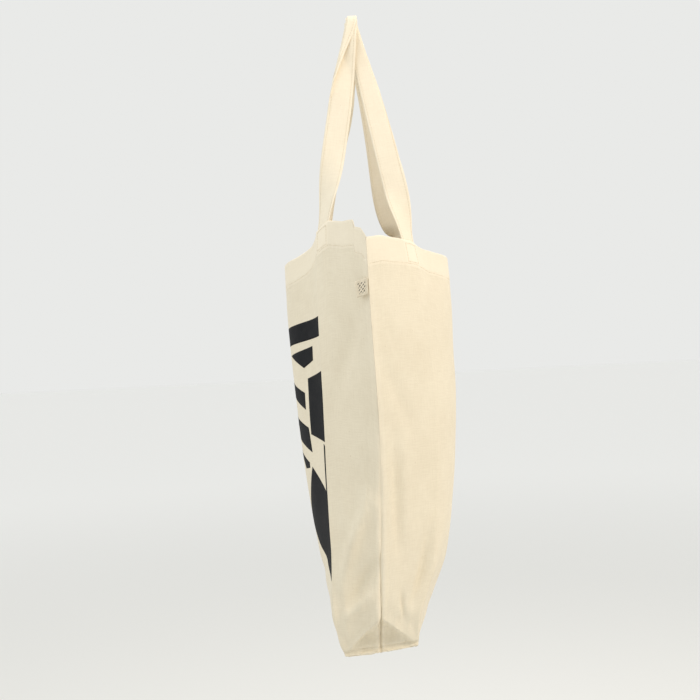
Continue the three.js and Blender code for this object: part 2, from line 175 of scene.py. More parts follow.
class Panel:
    """One cut panel of canvas: its outer face as a grid of points, and places on that face."""

    def __init__(self, side, crease_out, crease_depth, middle_depth, pleat, pulls, folds, seed):
        self.side = side
        self.crease_out = crease_out
        self.crease_depth = crease_depth
        self.middle_depth = middle_depth
        self.pleat = pleat
        self.pulls = pulls
        self.folds = folds
        self.seed = seed

    def rim(self, share, end):
        """Height of the rim: lifted where the handles pull, and lower towards the middle."""
        lift_at, lift = self.pulls[end]
        wave = 0.0006 * noise.noise(Vector((share * 9, end * 3.1, self.seed)))
        dip = MIDDLE_SAG * share**3 * (4 - 3 * share)
        return SEAM_HEIGHT + stepped(lift_at, lift, share) - dip + wave * smooth(0, 0.2, share)

    def below_rim(self, r, c):
        """How far a point of the grid is below the rim, along the cloth."""
        height = self.heights[r - self.first] if r >= self.first else 0
        return self.rim(*self.columns[c]) * (1 - height)

    def wall(self, share, end, height):
        """Where the wall would be if the cloth were perfectly smooth."""
        seam_x = between(LEVELS, SEAM_OUT, height)
        crease_x = between(LEVELS, self.crease_out, height)
        crease_y = between(LEVELS, self.crease_depth, height)
        middle_y = between(LEVELS, self.middle_depth, height)
        pleat = between(LEVELS, self.pleat, height)
        z = self.rim(share, end) * height
        if share <= CREASE_SHARE:
            t = share / CREASE_SHARE
            x = mix(seam_x, crease_x, t)
            y = t * crease_y
        else:
            t = (share - CREASE_SHARE) / (1 - CREASE_SHARE)
            x = cubic(crease_x, crease_x * 0.66, crease_x * 0.4, 0, t)
            y = cubic(crease_y, min(crease_y + pleat, middle_y), middle_y, middle_y, t)
        return Vector((end * x, self.side * y + seam_drift(share, height), z))

    def relief(self, share, end, height):
        """How far folds, seams and puckers move the cloth outwards."""
        along = share * PANEL_HALF_WIDTH
        up = height * SEAM_HEIGHT
        drop = self.rim(share, end) * (1 - height)
        value = sum(fold.at(np.array((along, up))) for fold in self.folds[end])
        value += self.at_seam(along, up, end) + self.waves(along, up, end)
        return value + self.at_hem(share, along, drop)

    def at_seam(self, along, up, end):
        """The side seam: a groove, a low ridge over the allowance behind it, and ripples beside it."""
        low = 1 - smooth(0.05, 0.30, up)
        groove = mix(0.0006, 0.0024, low) * mound(along, 0.0026)
        ridge = mix(0.0004, 0.0008, low) * mound(along - ALLOWANCE, 0.0045)
        ripple = 0.0011 * noise.noise(Vector((up * 62, 0.3 + end, self.seed + 5)))
        return ridge - groove + ripple * math.exp(-along / 0.016) * smooth(0, 0.004, along)

    def waves(self, along, up, end):
        """Soft waves all over, stronger low down, and a crumpled foot."""
        wide = noise.noise(Vector((along * 11 + 4 * end, up * 7, self.seed)))
        fine = noise.noise(Vector((along * 34, up * 21 + 3 * end, self.seed + 2)))
        crumple = noise.noise(Vector((along * 60, up * 60, self.seed + 7)))
        low = 1 - smooth(0, 0.16, up - 0.02)
        value = (0.0026 * wide + 0.0009 * fine) * mix(0.35, 1, low) + 0.0008 * wide + 0.00035 * fine
        return value + 0.0012 * crumple * (1 - smooth(0.03, 0.075, up)) * smooth(0.004, 0.02, along)

    def at_hem(self, share, along, drop):
        """The hem: the pull of the handles, the step at its raw edge, and the sunk, puckered stitching."""
        pull = 0.0012 * mound(share - (STRAP_FROM + STRAP_TO) / 2, 0.05)
        pull *= math.exp(-max(drop - HEM_DEPTH, 0) / 0.05)
        step = 0.00045 * (1 - smooth(HEM_DEPTH - 0.0012, HEM_DEPTH + 0.0004, drop))
        sunk = 0.0005 * mound(drop - STITCH_DROP, 0.0009)
        shift = 4 * noise.noise(Vector((along * 30, 0, self.seed)))
        pucker = 0.00028 * math.sin(along * 2 * math.pi / 0.0105 + shift)
        return pull + step - sunk + pucker * mound(drop - STITCH_DROP - 0.002, 0.0075)

    def place(self, share, end, height):
        """A point of the wall, with the boxed corner cut across the foot of the side seam."""
        point = self.wall(share, end, height)
        if point.z < 1.4 * CORNER_RISE and share < CREASE_SHARE + 0.02:
            up = point.z / CORNER_RISE
            aside = abs(point.y - seam_drift(share, height)) / BOTTOM_HALF_DEPTH
            hollow = CORNER_HOLLOW * smooth(0, 0.28, 1 - up - aside) * smooth(0, 0.40, up)
            corner_x = mix(BOTTOM_HALF_LENGTH, SEAM_OUT[1], up) - hollow
            wide = mix(SEAM_OUT[1], BOTTOM_HALF_LENGTH, min(aside, 1))
            wall_x = max(abs(point.x), wide if up < 1 and share <= CREASE_SHARE else 0)
            point.x = end * soft_least(wall_x, corner_x, 0.0005)
        low = (1 - smooth(CREASE_SHARE, 0.9, share)) * (1 - smooth(0, 0.09, point.z))
        point.y += SEAM_DRIFT[0] * low * min(share / CREASE_SHARE, 1)
        point.z += (FOOT_TILT[end] * point.y + FOOT_RISE) * low
        return point


def soft_least(a, b, width):
    """The smaller of two numbers, with the corner between them rounded."""
    blend = max(width - abs(a - b), 0) / width
    return min(a, b) - blend * blend * width / 4


# How far the shorter and the longer leg of a handle lift the rim, from the side seam to the middle
SHORT_LIFT = ([0, 0.05, 0.12, 0.13, 0.25, STRAP_FROM, 0.54, 0.66, 0.82, 1],
              [0.0, 0.011, 0.0145, 0.022, 0.0245, 0.031, 0.0245, 0.011, 0.003, 0])
LONG_LIFT = ([0, 0.13, STRAP_FROM, STRAP_TO, 0.66, 1], [0, 0.0045, 0.007, 0.0055, 0.002, 0])

front = Panel(
    side=-1,
    crease_out=[BOTTOM_HALF_LENGTH, 0.134, 0.128, 0.107, 0.084, 0.070],
    crease_depth=[BOTTOM_HALF_DEPTH, 0.049, 0.052, 0.053, 0.055, 0.053],
    middle_depth=[BOTTOM_HALF_DEPTH, 0.058, 0.070, 0.086, 0.095, 0.096],
    pleat=[0, 0.003, 0.006, 0.012, 0.004, 0.001],
    pulls={1: SHORT_LIFT, -1: LONG_LIFT},
    folds={
        1: [
            Fold((0.10, 0.150), (0.42, 0.070), 0.0078, 0.011),
            Fold((0.02, 0.095), (0.34, 0.048), -0.0058, 0.009),
            Fold((0.10, 0.058), (0.40, 0.036), 0.0045, 0.007),
            Fold((0.16, 0.330), (0.40, 0.250), -0.0040, 0.014),
            Fold((0.60, 0.100), (0.95, 0.060), -0.0022, 0.010),
        ],
        -1: [
            Fold((0.08, 0.120), (0.40, 0.055), 0.0024, 0.009),
            Fold((0.04, 0.240), (0.30, 0.160), -0.0014, 0.012),
            Fold((0.62, 0.110), (0.90, 0.050), 0.0020, 0.010),
        ],
    },
    seed=3.0,
)
back = Panel(
    side=1,
    crease_out=[BOTTOM_HALF_LENGTH, 0.130, 0.118, 0.096, 0.084, 0.070],
    crease_depth=[BOTTOM_HALF_DEPTH, 0.042, 0.055, 0.066, 0.063, 0.055],
    middle_depth=[BOTTOM_HALF_DEPTH, 0.055, 0.076, 0.095, 0.100, 0.097],
    pleat=[0, 0.010, 0.016, 0.024, 0.018, 0.010],
    pulls={1: LONG_LIFT, -1: SHORT_LIFT},
    folds={
        1: [
            Fold((0.14, 0.215), (0.17, 0.110), -0.0058, 0.010),
            Fold((0.05, 0.300), (0.30, 0.230), -0.0024, 0.012),
            Fold((0.47, 0.110), (0.40, 0.050), -0.0046, 0.008),
            Fold((0.24, 0.060), (0.31, 0.034), -0.0030, 0.004),
            Fold((0.66, 0.140), (0.52, 0.060), 0.0022, 0.010),
        ],
        -1: [
            Fold((0.10, 0.200), (0.20, 0.100), -0.0020, 0.009),
            Fold((0.45, 0.120), (0.36, 0.040), -0.0026, 0.008),
            Fold((0.70, 0.130), (0.85, 0.060), 0.0020, 0.012),
        ],
    },
    seed=11.0,
)


def spaced(stops, counts):
    """Numbers from the first stop to the last, with so many steps between each two stops."""
    values = [stops[0]]
    for a, b, count in zip(stops, stops[1:], counts):
        values += [a + (b - a) * (i + 1) / count for i in range(count)]
    return values


SHARES = spaced([0, 0.03, 0.12, 0.48, 0.60, 1], [5, 8, 30, 12, 22])
HEIGHTS = spaced([0, 0.105, 0.30, 0.85, 1 - HEM_DEPTH * 1.25 / SEAM_HEIGHT, 1], [34, 22, 44, 5, 22])
SEAM_LIP = {-1: 0.0012, 0: 0.0016, 1: -0.0014, 2: -0.0018, 3: -0.0006}  # by grid rows above the foot
UNDER = spaced([0, 0.12, 0.4, 1], [10, 6, 8])[1:]  # from the foot of the wall to the bottom seam


def unit_rows(vectors):
    return vectors / np.maximum(np.linalg.norm(vectors, axis=-1, keepdims=True), 1e-12)


def grid_normals(points, side):
    """Outward direction at each point of a grid, whose rows run from the bottom seam to the rim."""
    across = np.gradient(points, axis=1)
    up = np.gradient(points, axis=0)
    return unit_rows(np.cross(across, up)) * side


def skin(panel):
    """Fills in a panel's outer face: rows from the bottom seam out to the foot of the wall, up to the rim."""
    columns = [(share, 1) for share in SHARES] + [(share, -1) for share in reversed(SHARES[:-1])]
    under = [[underside(panel, share, end, t) for share, end in columns] for t in reversed(UNDER)]
    wall = [[panel.place(share, end, height) for share, end in columns] for height in HEIGHTS]
    plain = np.array([[tuple(p) for p in row] for row in under + wall])
    square = grid_normals(plain, panel.side)
    rise = np.zeros(plain.shape[:2])
    first = len(under)
    for c, (share, end) in enumerate(columns):
        for r, height in enumerate(HEIGHTS):
            rise[first + r, c] = panel.relief(share, end, height)
        held = smooth(0, 0.012, share * PANEL_HALF_WIDTH)
        square[:, c] = unit_rows(np.array((end, 0.0, 0.0)) * (1 - held) + square[:, c] * held)
    for r in range(first):
        rise[r] = rise[first] * (r / first) ** 2
    panel.columns = columns
    panel.first = first
    panel.heights = np.array(HEIGHTS)
    panel.around = np.array([share if end > 0 else 2 - share for share, end in columns])
    panel.outer = plain + square * rise[..., None]
    panel.outer[:, [0, -1], 1] = plain[:, [0, -1], 1] + panel.side * SEAM_GAP
    shape_foot(panel)
    panel.square = grid_normals(panel.outer, panel.side)
    panel.square[:, 0] = (1, 0, 0)
    panel.square[:, -1] = (-1, 0, 0)


def underside(panel, share, end, t):
    """A point of the bottom: `t` runs from the foot of the wall to the bottom seam."""
    foot = panel.place(share, end, 0)
    inner = 1 - 0.3 * min(share / CREASE_SHARE, 1)
    point = foot.lerp(Vector((foot.x * inner, seam_drift(share, 0), 0)), t)
    corner = in_corner(share)
    point.x += end * corner * 0.0026 * math.sin(math.pi * min(t / 0.12, 1))
    roll = 1 - math.exp(-t / 0.035)
    sag = 0.0006 * noise.noise(Vector((point.x * 30, point.y * 30, panel.seed)))
    point.z = foot.z * (1 - t) - 0.0042 * roll * (1 - 0.6 * corner) + sag * min(t * 8, 1) * (1 - t)
    return point


def shape_foot(panel):
    """Makes the corner seam a proud lip with a groove over it, and rounds the bottom's long edges."""
    for r in range(panel.outer.shape[0]):
        for c, (share, end) in enumerate(panel.columns):
            point = panel.outer[r, c]
            corner = in_corner(share)
            if r >= panel.first:
                point[1] -= panel.side * (1 - corner) * 0.0035 * mound(point[2], 0.006)
            point[0] += end * corner * SEAM_LIP.get(r - panel.first, 0)


def on_cloth(panel, around, height, lift=0.0):
    """A place on a panel's outer face: `around` is 0 at the near seam, 1 midway, 2 at the far seam."""
    c = float(np.interp(around, panel.around, np.arange(len(panel.around))))
    r = float(np.interp(height, panel.heights, np.arange(len(panel.heights)))) + panel.first
    c0, r0 = min(int(c), len(panel.around) - 2), min(int(r), panel.outer.shape[0] - 2)
    u, v = c - c0, r - r0

    def blend(grid):
        low = grid[r0, c0] * (1 - u) + grid[r0, c0 + 1] * u
        high = grid[r0 + 1, c0] * (1 - u) + grid[r0 + 1, c0 + 1] * u
        return low * (1 - v) + high * v

    square = blend(panel.square)
    return Vector(blend(panel.outer) + square / np.linalg.norm(square) * lift)


def rim_at(panel, around):
    return panel.rim(around, 1) if around <= 1 else panel.rim(2 - around, -1)


def from_rim(panel, around, drop):
    """Share of the height at so far below the rim."""
    return 1 - drop / rim_at(panel, around)


# ---------------------------------------------------------------- making meshes


def new_piece(name, points, faces, materials, face_material=None, uv=None):
    mesh = bpy.data.meshes.new(name)
    mesh.from_pydata([tuple(p) for p in points], [], faces)
    if face_material is not None:
        mesh.polygons.foreach_set("material_index", face_material)
    if uv is not None:
        layer = mesh.uv_layers.new(name="cloth")
        for loop in mesh.loops:
            layer.data[loop.index].uv = uv[loop.vertex_index]
    for material in materials:
        mesh.materials.append(material)
    piece = bpy.data.objects.new(name, mesh)
    bpy.context.scene.collection.objects.link(piece)
    face_outwards(mesh)
    mesh.shade_smooth()
    return piece


def face_outwards(mesh):
    shape = bmesh.new()
    shape.from_mesh(mesh)
    bmesh.ops.recalc_face_normals(shape, faces=shape.faces)
    shape.to_mesh(mesh)
    shape.free()


def sharp_edges(piece, degrees):
    bpy.ops.object.select_all(action="DESELECT")
    piece.select_set(True)
    bpy.context.view_layer.objects.active = piece
    bpy.ops.object.shade_smooth_by_angle(angle=math.radians(degrees))
    piece.select_set(False)


def grid_faces(rows, columns, first=0, turned=False):
    faces = []
    for r in range(rows - 1):
        for c in range(columns - 1):
            a = first + r * columns + c
            quad = (a, a + 1, a + columns + 1, a + columns)
            faces.append(quad[::-1] if turned else quad)
    return faces


def sheet_faces(rows, columns, first=0):
    """Faces of a sheet with thickness: two grids, one stored after the other, joined round their edges."""
    count = rows * columns
    faces = grid_faces(rows, columns, first) + grid_faces(rows, columns, first + count, turned=True)
    edges = []
    for c in range(columns - 1):
        edges += [(c, c + 1), (count - columns + c + 1, count - columns + c)]
    for r in range(rows - 1):
        edges += [((r + 1) * columns, r * columns), ((r + 1) * columns - 1, (r + 2) * columns - 1)]
    return faces + [(first + b, first + a, first + a + count, first + b + count) for a, b in edges]


def closed_sheet(name, outer, inner, materials, uv):
    """A sheet with thickness, from the grids of its two faces."""
    points = np.concatenate([outer.reshape(-1, 3), inner.reshape(-1, 3)])
    return new_piece(name, points, sheet_faces(*outer.shape[:2]), materials, uv=uv + uv)


def thin_sheet(name, rows, materials, uv):
    """A sheet from rows of (middle of its thickness, from there to its outer face)."""
    outer = np.array([[tuple(middle + half) for middle, half in row] for row in rows])
    inner = np.array([[tuple(middle - half) for middle, half in row] for row in rows])
    return closed_sheet(name, outer, inner, materials, uv)


def cloth_uv(panel):
    """Metres along the cloth, so that the weave keeps its size on every part of the panel."""
    points = panel.outer
    across = np.concatenate([[0], np.cumsum(np.linalg.norm(np.diff(points[-30], axis=0), axis=1))])
    middle = len(panel.columns) // 2
    up = np.concatenate([[0], np.cumsum(np.linalg.norm(np.diff(points[:, middle], axis=0), axis=1))])
    return [(float(x), float(y)) for y in up for x in across]


def panel_piece(name, panel, materials):
    """The sewn panel, with its hem turned in: two layers at the rim, and one below the hem's raw edge."""
    skin(panel)
    outer, inner = panel.outer.copy(), panel.outer.copy()
    for r, c in np.ndindex(outer.shape[:2]):
        drop = panel.below_rim(r, c)
        doubled = 1 - smooth(HEM_DEPTH - 0.0006, HEM_DEPTH + 0.0008, drop)
        thick = CANVAS * (1 + doubled) + 0.0004 * doubled * mound(drop - HEM_DEPTH + 0.002, 0.002)
        rounded = math.sqrt(max(1 - (max(CANVAS - drop, 0) / CANVAS) ** 2, 0))
        outer[r, c] -= panel.square[r, c] * (thick / 2 * (1 - rounded))
        inner[r, c] -= panel.square[r, c] * (thick / 2 * (1 + rounded))
    # at a side seam, each panel's cloth lies on its own side
    inner[:, [0, -1], 1] = outer[:, [0, -1], 1] + panel.side * CANVAS
    piece = closed_sheet(name, outer, inner, materials, cloth_uv(panel))
    mark_layers(piece, panel)
    sharp_edges(piece, 60)
    return piece


def mark_layers(piece, panel):
    """Stores how much cloth lies behind the outer face: hem, strap, allowance. The canvas is painted paler
    there: painted light in place of the light that one layer lets through to the dark inside.
    """
    values = []
    for r, c in np.ndindex(panel.outer.shape[:2]):
        share = panel.columns[c][0]
        hem = 1 - smooth(HEM_DEPTH - 0.0015, HEM_DEPTH + 0.0005, panel.below_rim(r, c))
        sewn = smooth(STRAP_FROM - 0.006, STRAP_FROM + 0.006, share)
        sewn *= 1 - smooth(STRAP_TO - 0.006, STRAP_TO + 0.006, share)
        bound = 1 - smooth(ALLOWANCE - 0.001, ALLOWANCE + 0.001, share * PANEL_HALF_WIDTH)
        values.append(min(0.6 * hem + 0.4 * hem * sewn + 0.25 * bound * (1 - hem), 1))
    layer = piece.data.attributes.new("layers", "FLOAT", "POINT")
    layer.data.foreach_set("value", values + values)


# ---------------------------------------------------------------- stitches


def stitch_shape(length, thick):
    """One stitch: a round bead of thread, drawn out along X."""
    bpy.ops.object.select_all(action="DESELECT")
    bpy.ops.mesh.primitive_uv_sphere_add(segments=6, ring_count=4, radius=thick / 2)
    bead = bpy.context.object
    bpy.ops.object.mode_set(mode="EDIT")
    bpy.ops.mesh.select_all(action="SELECT")
    bpy.ops.transform.rotate(value=math.pi / 2, orient_axis="Y", center_override=(0, 0, 0))
    bpy.ops.object.mode_set(mode="OBJECT")
    for vertex in bead.data.vertices:
        if abs(vertex.co.x) > thick * 0.05:
            vertex.co.x += math.copysign((length - thick) / 2, vertex.co.x)
    points = [v.co.copy() for v in bead.data.vertices]
    faces = [tuple(p.vertices) for p in bead.data.polygons]
    mesh = bead.data
    bpy.data.objects.remove(bead)
    bpy.data.meshes.remove(mesh)
    return points, faces


def sew(places, length, thick):
    """Beads of thread at places (point, along, out): their points and faces."""
    shape, faces = stitch_shape(length, thick)
    points, all_faces = [], []
    for point, along, out in places:
        x = along.normalized()
        z = (out - x * out.dot(x)).normalized()
        y = z.cross(x)
        first = len(points)
        points += [point + x * p.x + y * p.y + z * p.z for p in shape]
        all_faces += [tuple(first + i for i in face) for face in faces]
    return points, all_faces


def along_cloth(panel, path, pitch, lift):
    """Stitch places along a path of (around, drop) on a panel's outer face."""
    steps = 200
    fine = []
    for (a0, d0), (a1, d1) in zip(path, path[1:]):
        fine += [(mix(a0, a1, i / steps), mix(d0, d1, i / steps)) for i in range(steps)]
    fine.append(path[-1])
    points = [on_cloth(panel, a, from_rim(panel, a, d), lift) for a, d in fine]
    lengths = np.concatenate([[0], np.cumsum([(b - a).length for a, b in zip(points, points[1:])])])
    last = len(points) - 1
    count = int(lengths[-1] / pitch)
    places = []
    for k in range(count):
        i = min(int(np.searchsorted(lengths, (k + 0.5) * lengths[-1] / count)), last)
        around, drop = fine[i]
        raised = on_cloth(panel, around, from_rim(panel, around, drop), lift + 0.001)
        places.append((points[i], points[min(i + 1, last)] - points[max(i - 1, 0)], raised - points[i]))
    return places


# ---------------------------------------------------------------- handles


def bezier(a, b, c, d, t):
    return Vector(tuple(cubic(a[i], b[i], c[i], d[i], t) for i in range(3)))


def strap_seat(panel, end, drop):
    """Middle of a sewn handle end, inside the hem, and the direction across the strap there."""
    depth = -(2 * CANVAS + 0.0004 + STRAP_THICKNESS / 2)
    middle = (STRAP_FROM + STRAP_TO) / 2
    around = middle if end > 0 else 2 - middle
    reach = 0.06 if end > 0 else -0.06
    height = from_rim(panel, around, drop)
    point = on_cloth(panel, around, height, depth)
    across = on_cloth(panel, around + reach, height, depth) - on_cloth(panel, around - reach, height, depth)
    return point, across.normalized()


# By panel side and end: where a leg turns to lie across the bag, and how far it bows outwards
TWISTS = {(-1, 1): (0, 0.100), (-1, -1): (0.11, 0.230), (1, 1): (0, 0.075), (1, -1): (0, 0.030)}
BOWS = {(-1, 1): 0, (-1, -1): 0.011, (1, 1): 0.001, (1, -1): -0.011}


def leg_line(panel, end, top, bend):
    """Middle line of one leg, from inside the hem to the bend, its directions across, and its slant."""
    root, root_across = strap_seat(panel, end, 0)
    drop = top.z - root.z
    angle = math.acos(bend / math.hypot(root.x, drop)) - math.atan2(drop, abs(root.x))
    touch = top + Vector((end * math.cos(angle), 0, math.sin(angle))) * bend
    sewn = [strap_seat(panel, end, d / 1000) for d in range(28, 0, -4)]
    points = [point for point, _ in sewn]
    across = [direction for _, direction in sewn]
    leg = touch - root
    knee = root + leg * 0.045
    start = points[-1]
    rise = (start - points[0]).normalized()
    for i in range(1, 9):
        points.append(bezier(start, start + rise * 0.005, knee - leg.normalized() * 0.006, knee, i / 8))
    for i in range(1, 66):
        t = i / 66
        bow = BOWS[panel.side, end] * (t / 0.2) * math.exp(1 - t / 0.2) * (1 - t)
        points.append(knee.lerp(touch, t) + Vector((0, panel.side * bow, 0)))
    across += [root_across] * (len(points) - len(across))
    sideways = Vector((0, panel.side, 0))
    for i, point in enumerate(points):
        t = smooth(*TWISTS[panel.side, end], (point - root).length if point.z > root.z else 0)
        across[i] = across[i].slerp(sideways, t) if t < 1 else sideways
    return points, across, angle


def handle_line(panel, bend, top_height):
    """Middle line of a handle from its near end to its far end, and the direction across it."""
    top = Vector((0, panel.side * HANDLE_SPLIT, top_height - bend))
    near, near_across, near_angle = leg_line(panel, 1, top, bend)
    far, far_across, far_angle = leg_line(panel, -1, top, bend)
    turn = []
    steps = 16
    for i in range(steps + 1):
        angle = mix(near_angle, math.pi - far_angle, i / steps)
        turn.append(top + Vector((math.cos(angle), 0, math.sin(angle))) * bend)
    across = near_across + [Vector((0, panel.side, 0))] * len(turn) + far_across[::-1]
    return near + turn + far[::-1], across


# How the two handles are folded together near the hook: at so far below the top, so much of the width
FRONT_BUNCH = ([0, 0.020, 0.050, 0.085, 0.115], [0.50, 0.44, 0.27, 0.09, 0])
BACK_BUNCH = ([0, 0.040, 0.090, 0.150, 0.200], [0.42, 0.33, 0.15, 0.04, 0])


def slack(w, from_top):
    """A valley that crosses the strap on a slant where it opens out below the hook."""
    line = mix(0.5, -0.62, (from_top - 0.012) / 0.088)
    held = smooth(0.0, 0.03, from_top) * (1 - smooth(0.085, 0.13, from_top))
    return 0.17 * STRAP_WIDTH * (math.hypot(w - line, 0.05) - 0.35) * held


# A place on a strap's middle line: directions across and outwards, the share of the width
# that is folded over there, how far below the top it is, and the length from the strap's end
Station = namedtuple("Station", "point side face flap from_top travelled")


def stations(points, across, bunch, top_height):
    found = []
    travelled = 0.0
    for i, point in enumerate(points):
        before, after = points[max(i - 1, 0)], points[min(i + 1, len(points) - 1)]
        travelled += (point - before).length
        along = (after - before).normalized()
        side = (across[i] - along * across[i].dot(along)).normalized()
        face = along.cross(side).normalized()
        if face.dot(found[-1].face if found else Vector((point.x, 0, 0))) < 0:
            face = -face
        from_top = top_height - point.z
        found.append(Station(point, side, face, stepped(*bunch, from_top), from_top, travelled))
    return found


def topstitching(line, over):
    """Stitch places along both edges of a strap, on both its faces."""
    lengths = [station.travelled for station in line]
    row = 0.5 - TOPSTITCH_IN / STRAP_WIDTH
    places = []
    for w in (-row, row):
        for layer in (1, -1):
            for k in range(int(lengths[-1] / TOPSTITCH_PITCH)):
                at = (k + 0.5) * TOPSTITCH_PITCH
                i = min(max(int(np.searchsorted(lengths, at)), 1), len(line) - 1)
                a, b = line[i - 1], line[i]
                start = strap_point(a, w, layer * 0.96, over)
                end = strap_point(b, w, layer * 0.96, over)
                t = (at - a.travelled) / max(b.travelled - a.travelled, 1e-9)
                places.append((start.lerp(end, t), end - start, strap_point(a, w, layer * 1.3, over) - start))
    return places


def handle_piece(name, line, over):
    """One folded strap along its stations, with its topstitching."""
    outline = strap_outline()
    sides = len(outline)
    points, uv, faces = [], [], []
    for station in line:
        points += [strap_point(station, w, t, over) for w, t in outline]
        uv += [(w * STRAP_WIDTH + (0.05 if t < 0 else 0), station.travelled) for w, t in outline]
    last = len(points) - sides
    for r in range(0, last, sides):
        for k in range(sides):
            a, b = r + k, r + (k + 1) % sides
            faces.append((a, b, b + sides, a + sides))
    faces += [tuple(range(sides))[::-1], tuple(range(last, last + sides))]
    stitches, stitch_faces = sew(topstitching(line, over), 0.0026, 0.00050)
    kinds = [0] * len(faces) + [1] * len(stitch_faces)
    faces += [tuple(len(points) + k for k in face) for face in stitch_faces]
    uv += [(0.0, 0.0)] * len(stitches)
    piece = new_piece(name, points + stitches, faces, [webbing, thread], face_material=kinds, uv=uv)
    sharp_edges(piece, 60)
    return piece


def strap_outline():
    """The strap's cross-section as (across, through): rounded edges, and a dip along each stitching."""
    outline = []
    for layer in (1, -1):
        row = []
        for i in range(STRAP_STEPS + 1):
            w = i / STRAP_STEPS - 0.5
            edge = (0.5 - abs(w)) * STRAP_WIDTH
            through = math.sqrt(max(1 - max(1 - edge / EDGE_ROUNDING, 0) ** 2, 0.02))
            row.append((w, layer * (through - 0.22 * mound(edge - TOPSTITCH_IN, 0.0007))))
        outline += row[::layer]
    return outline


def strap_point(station, w, through, over):
    """A point of the strap. Its folded part lies on its outer face, or behind it where `over` is False."""
    fold = (0.5 - station.flap) * STRAP_WIDTH
    offset = w * STRAP_WIDTH - fold
    x, out, lean = w * STRAP_WIDTH, 0.0, 0.0
    if offset > -FOLD_LENGTH / 2:
        lean = min((offset + FOLD_LENGTH / 2) / FOLD_LENGTH, 1) * math.pi
        radius = FOLD_LENGTH / math.pi
        x = fold - FOLD_LENGTH / 2 + radius * math.sin(lean) - max(offset - FOLD_LENGTH / 2, 0)
        out = radius * (1 - math.cos(lean))
    folded = smooth(0.0, 0.03, station.flap)
    x = mix(w * STRAP_WIDTH, x, folded)
    out *= folded
    lean *= folded
    if over:
        x += station.flap * STRAP_WIDTH / 2
        out += slack(w, station.from_top)
    else:
        out, lean = -out, -lean
    thick = STRAP_THICKNESS / 2 * through
    x += math.sin(lean) * thick
    out += math.cos(lean) * thick
    return station.point + station.side * x + station.face * out


# ---------------------------------------------------------------- shader building


class Signal:
    """A number, colour or direction that changes over a surface: a socket, with arithmetic."""

    def __init__(self, paint, socket):
        self.paint = paint
        self.socket = socket

    def _math(self, operation, *values):
        return self.paint.node("ShaderNodeMath", {"operation": operation}, dict(enumerate(values)))

    def __add__(self, other):
        return self._math("ADD", self, other)

    __radd__ = __add__

    def __sub__(self, other):
        return self._math("SUBTRACT", self, other)

    def __rsub__(self, other):
        return self._math("SUBTRACT", other, self)

    def __mul__(self, other):
        return self._math("MULTIPLY", self, other)

    __rmul__ = __mul__

    def __abs__(self):
        return self._math("ABSOLUTE", self)

    def sine(self):
        return self._math("SINE", self)

    def least(self, other):
        return self._math("MINIMUM", self, other)

    def most(self, other):
        return self._math("MAXIMUM", self, other)

    def part(self):
        return self._math("FRACT", self)

    def ramp(self, low, high):
        """0 below `low`, 1 above `high`, and smooth between."""
        inputs = {"Value": self, "From Min": low, "From Max": high}
        return self.paint.node("ShaderNodeMapRange", {"interpolation_type": "SMOOTHSTEP"}, inputs)


class Paint:
    """A material under construction."""

    def __init__(self, name):
        self.material = bpy.data.materials.new(name)
        self.material.use_nodes = True
        self.tree = self.material.node_tree
        self.tree.nodes.clear()

    def node(self, kind, settings=None, inputs=None, output=0):
        node = self.tree.nodes.new(kind)
        for key, value in (settings or {}).items():
            setattr(node, key, value)
        for key, value in (inputs or {}).items():
            socket = node.inputs[key]
            if isinstance(value, Signal):
                self.tree.links.new(value.socket, socket)
            elif value is not None:
                socket.default_value = value
        return Signal(self, node.outputs[output])

    def coordinate(self, kind):
        return self.node("ShaderNodeTexCoord", output=kind)

    def cloth(self):
        """The place on the cloth, and metres across and along it."""
        place = self.node("ShaderNodeUVMap", {"uv_map": "cloth"})
        split = self.node("ShaderNodeSeparateXYZ", {}, {0: place})
        return place, split, Signal(self, split.socket.node.outputs[1])

    def noise(self, place, scale, detail, roughness):
        inputs = {"Vector": place, "Scale": scale, "Detail": detail, "Roughness": roughness}
        return self.node("ShaderNodeTexNoise", {}, inputs)

    def streaks(self, place, across, along, detail, roughness):
        """Drawn-out noise, with so many spots to a metre across and along the cloth."""
        stretched = self.node("ShaderNodeMapping", {}, {"Vector": place, "Scale": (across, along, 1.0)})
        return self.noise(stretched, 1.0, detail, roughness)

    def blend(self, amount, a, b):
        inputs = {0: amount, 6: a, 7: b}  # of the colour kind: factor, A and B
        return self.node("ShaderNodeMix", {"data_type": "RGBA"}, inputs, output=2)

    def bump(self, height, strength, distance, normal=None):
        inputs = {"Height": height, "Strength": strength, "Distance": distance, "Normal": normal}
        return self.node("ShaderNodeBump", {}, inputs)

    def finish(self, colour, roughness, normal, **uniform):
        inputs = {"Base Color": colour, "Roughness": roughness, "Normal": normal}
        inputs.update({key.replace("_", " "): value for key, value in uniform.items()})
        shader = self.node("ShaderNodeBsdfPrincipled", {}, inputs)
        output = self.tree.nodes.new("ShaderNodeOutputMaterial")
        self.tree.links.new(shader.socket, output.inputs["Surface"])
        return self.material


def weave(across, along, pitch):
    """Height of a plain weave: yarns going over and under one another."""
    turn = 2 * math.pi / pitch
    over = (across * turn).sine() * (along * turn).sine()
    warp = abs((across * (turn / 2)).sine())
    weft = abs((along * (turn / 2)).sine())
    chosen = (over * 2.0).least(1.0).most(-1.0) * 0.5 + 0.5
    return warp * chosen + weft * (1.0 - chosen)


CANVAS_YARN = 0.00095  # from yarn to yarn
WEBBING_YARN = 0.00085
SEED_BROWN = (0.42, 0.30, 0.17, 1)
# Painted shade: the colour laid into the hollows between the yarns, and along the label's ribs.
PAINTED_WEAVE_SHADE = (0.50, 0.42, 0.30, 1)  # between the yarns
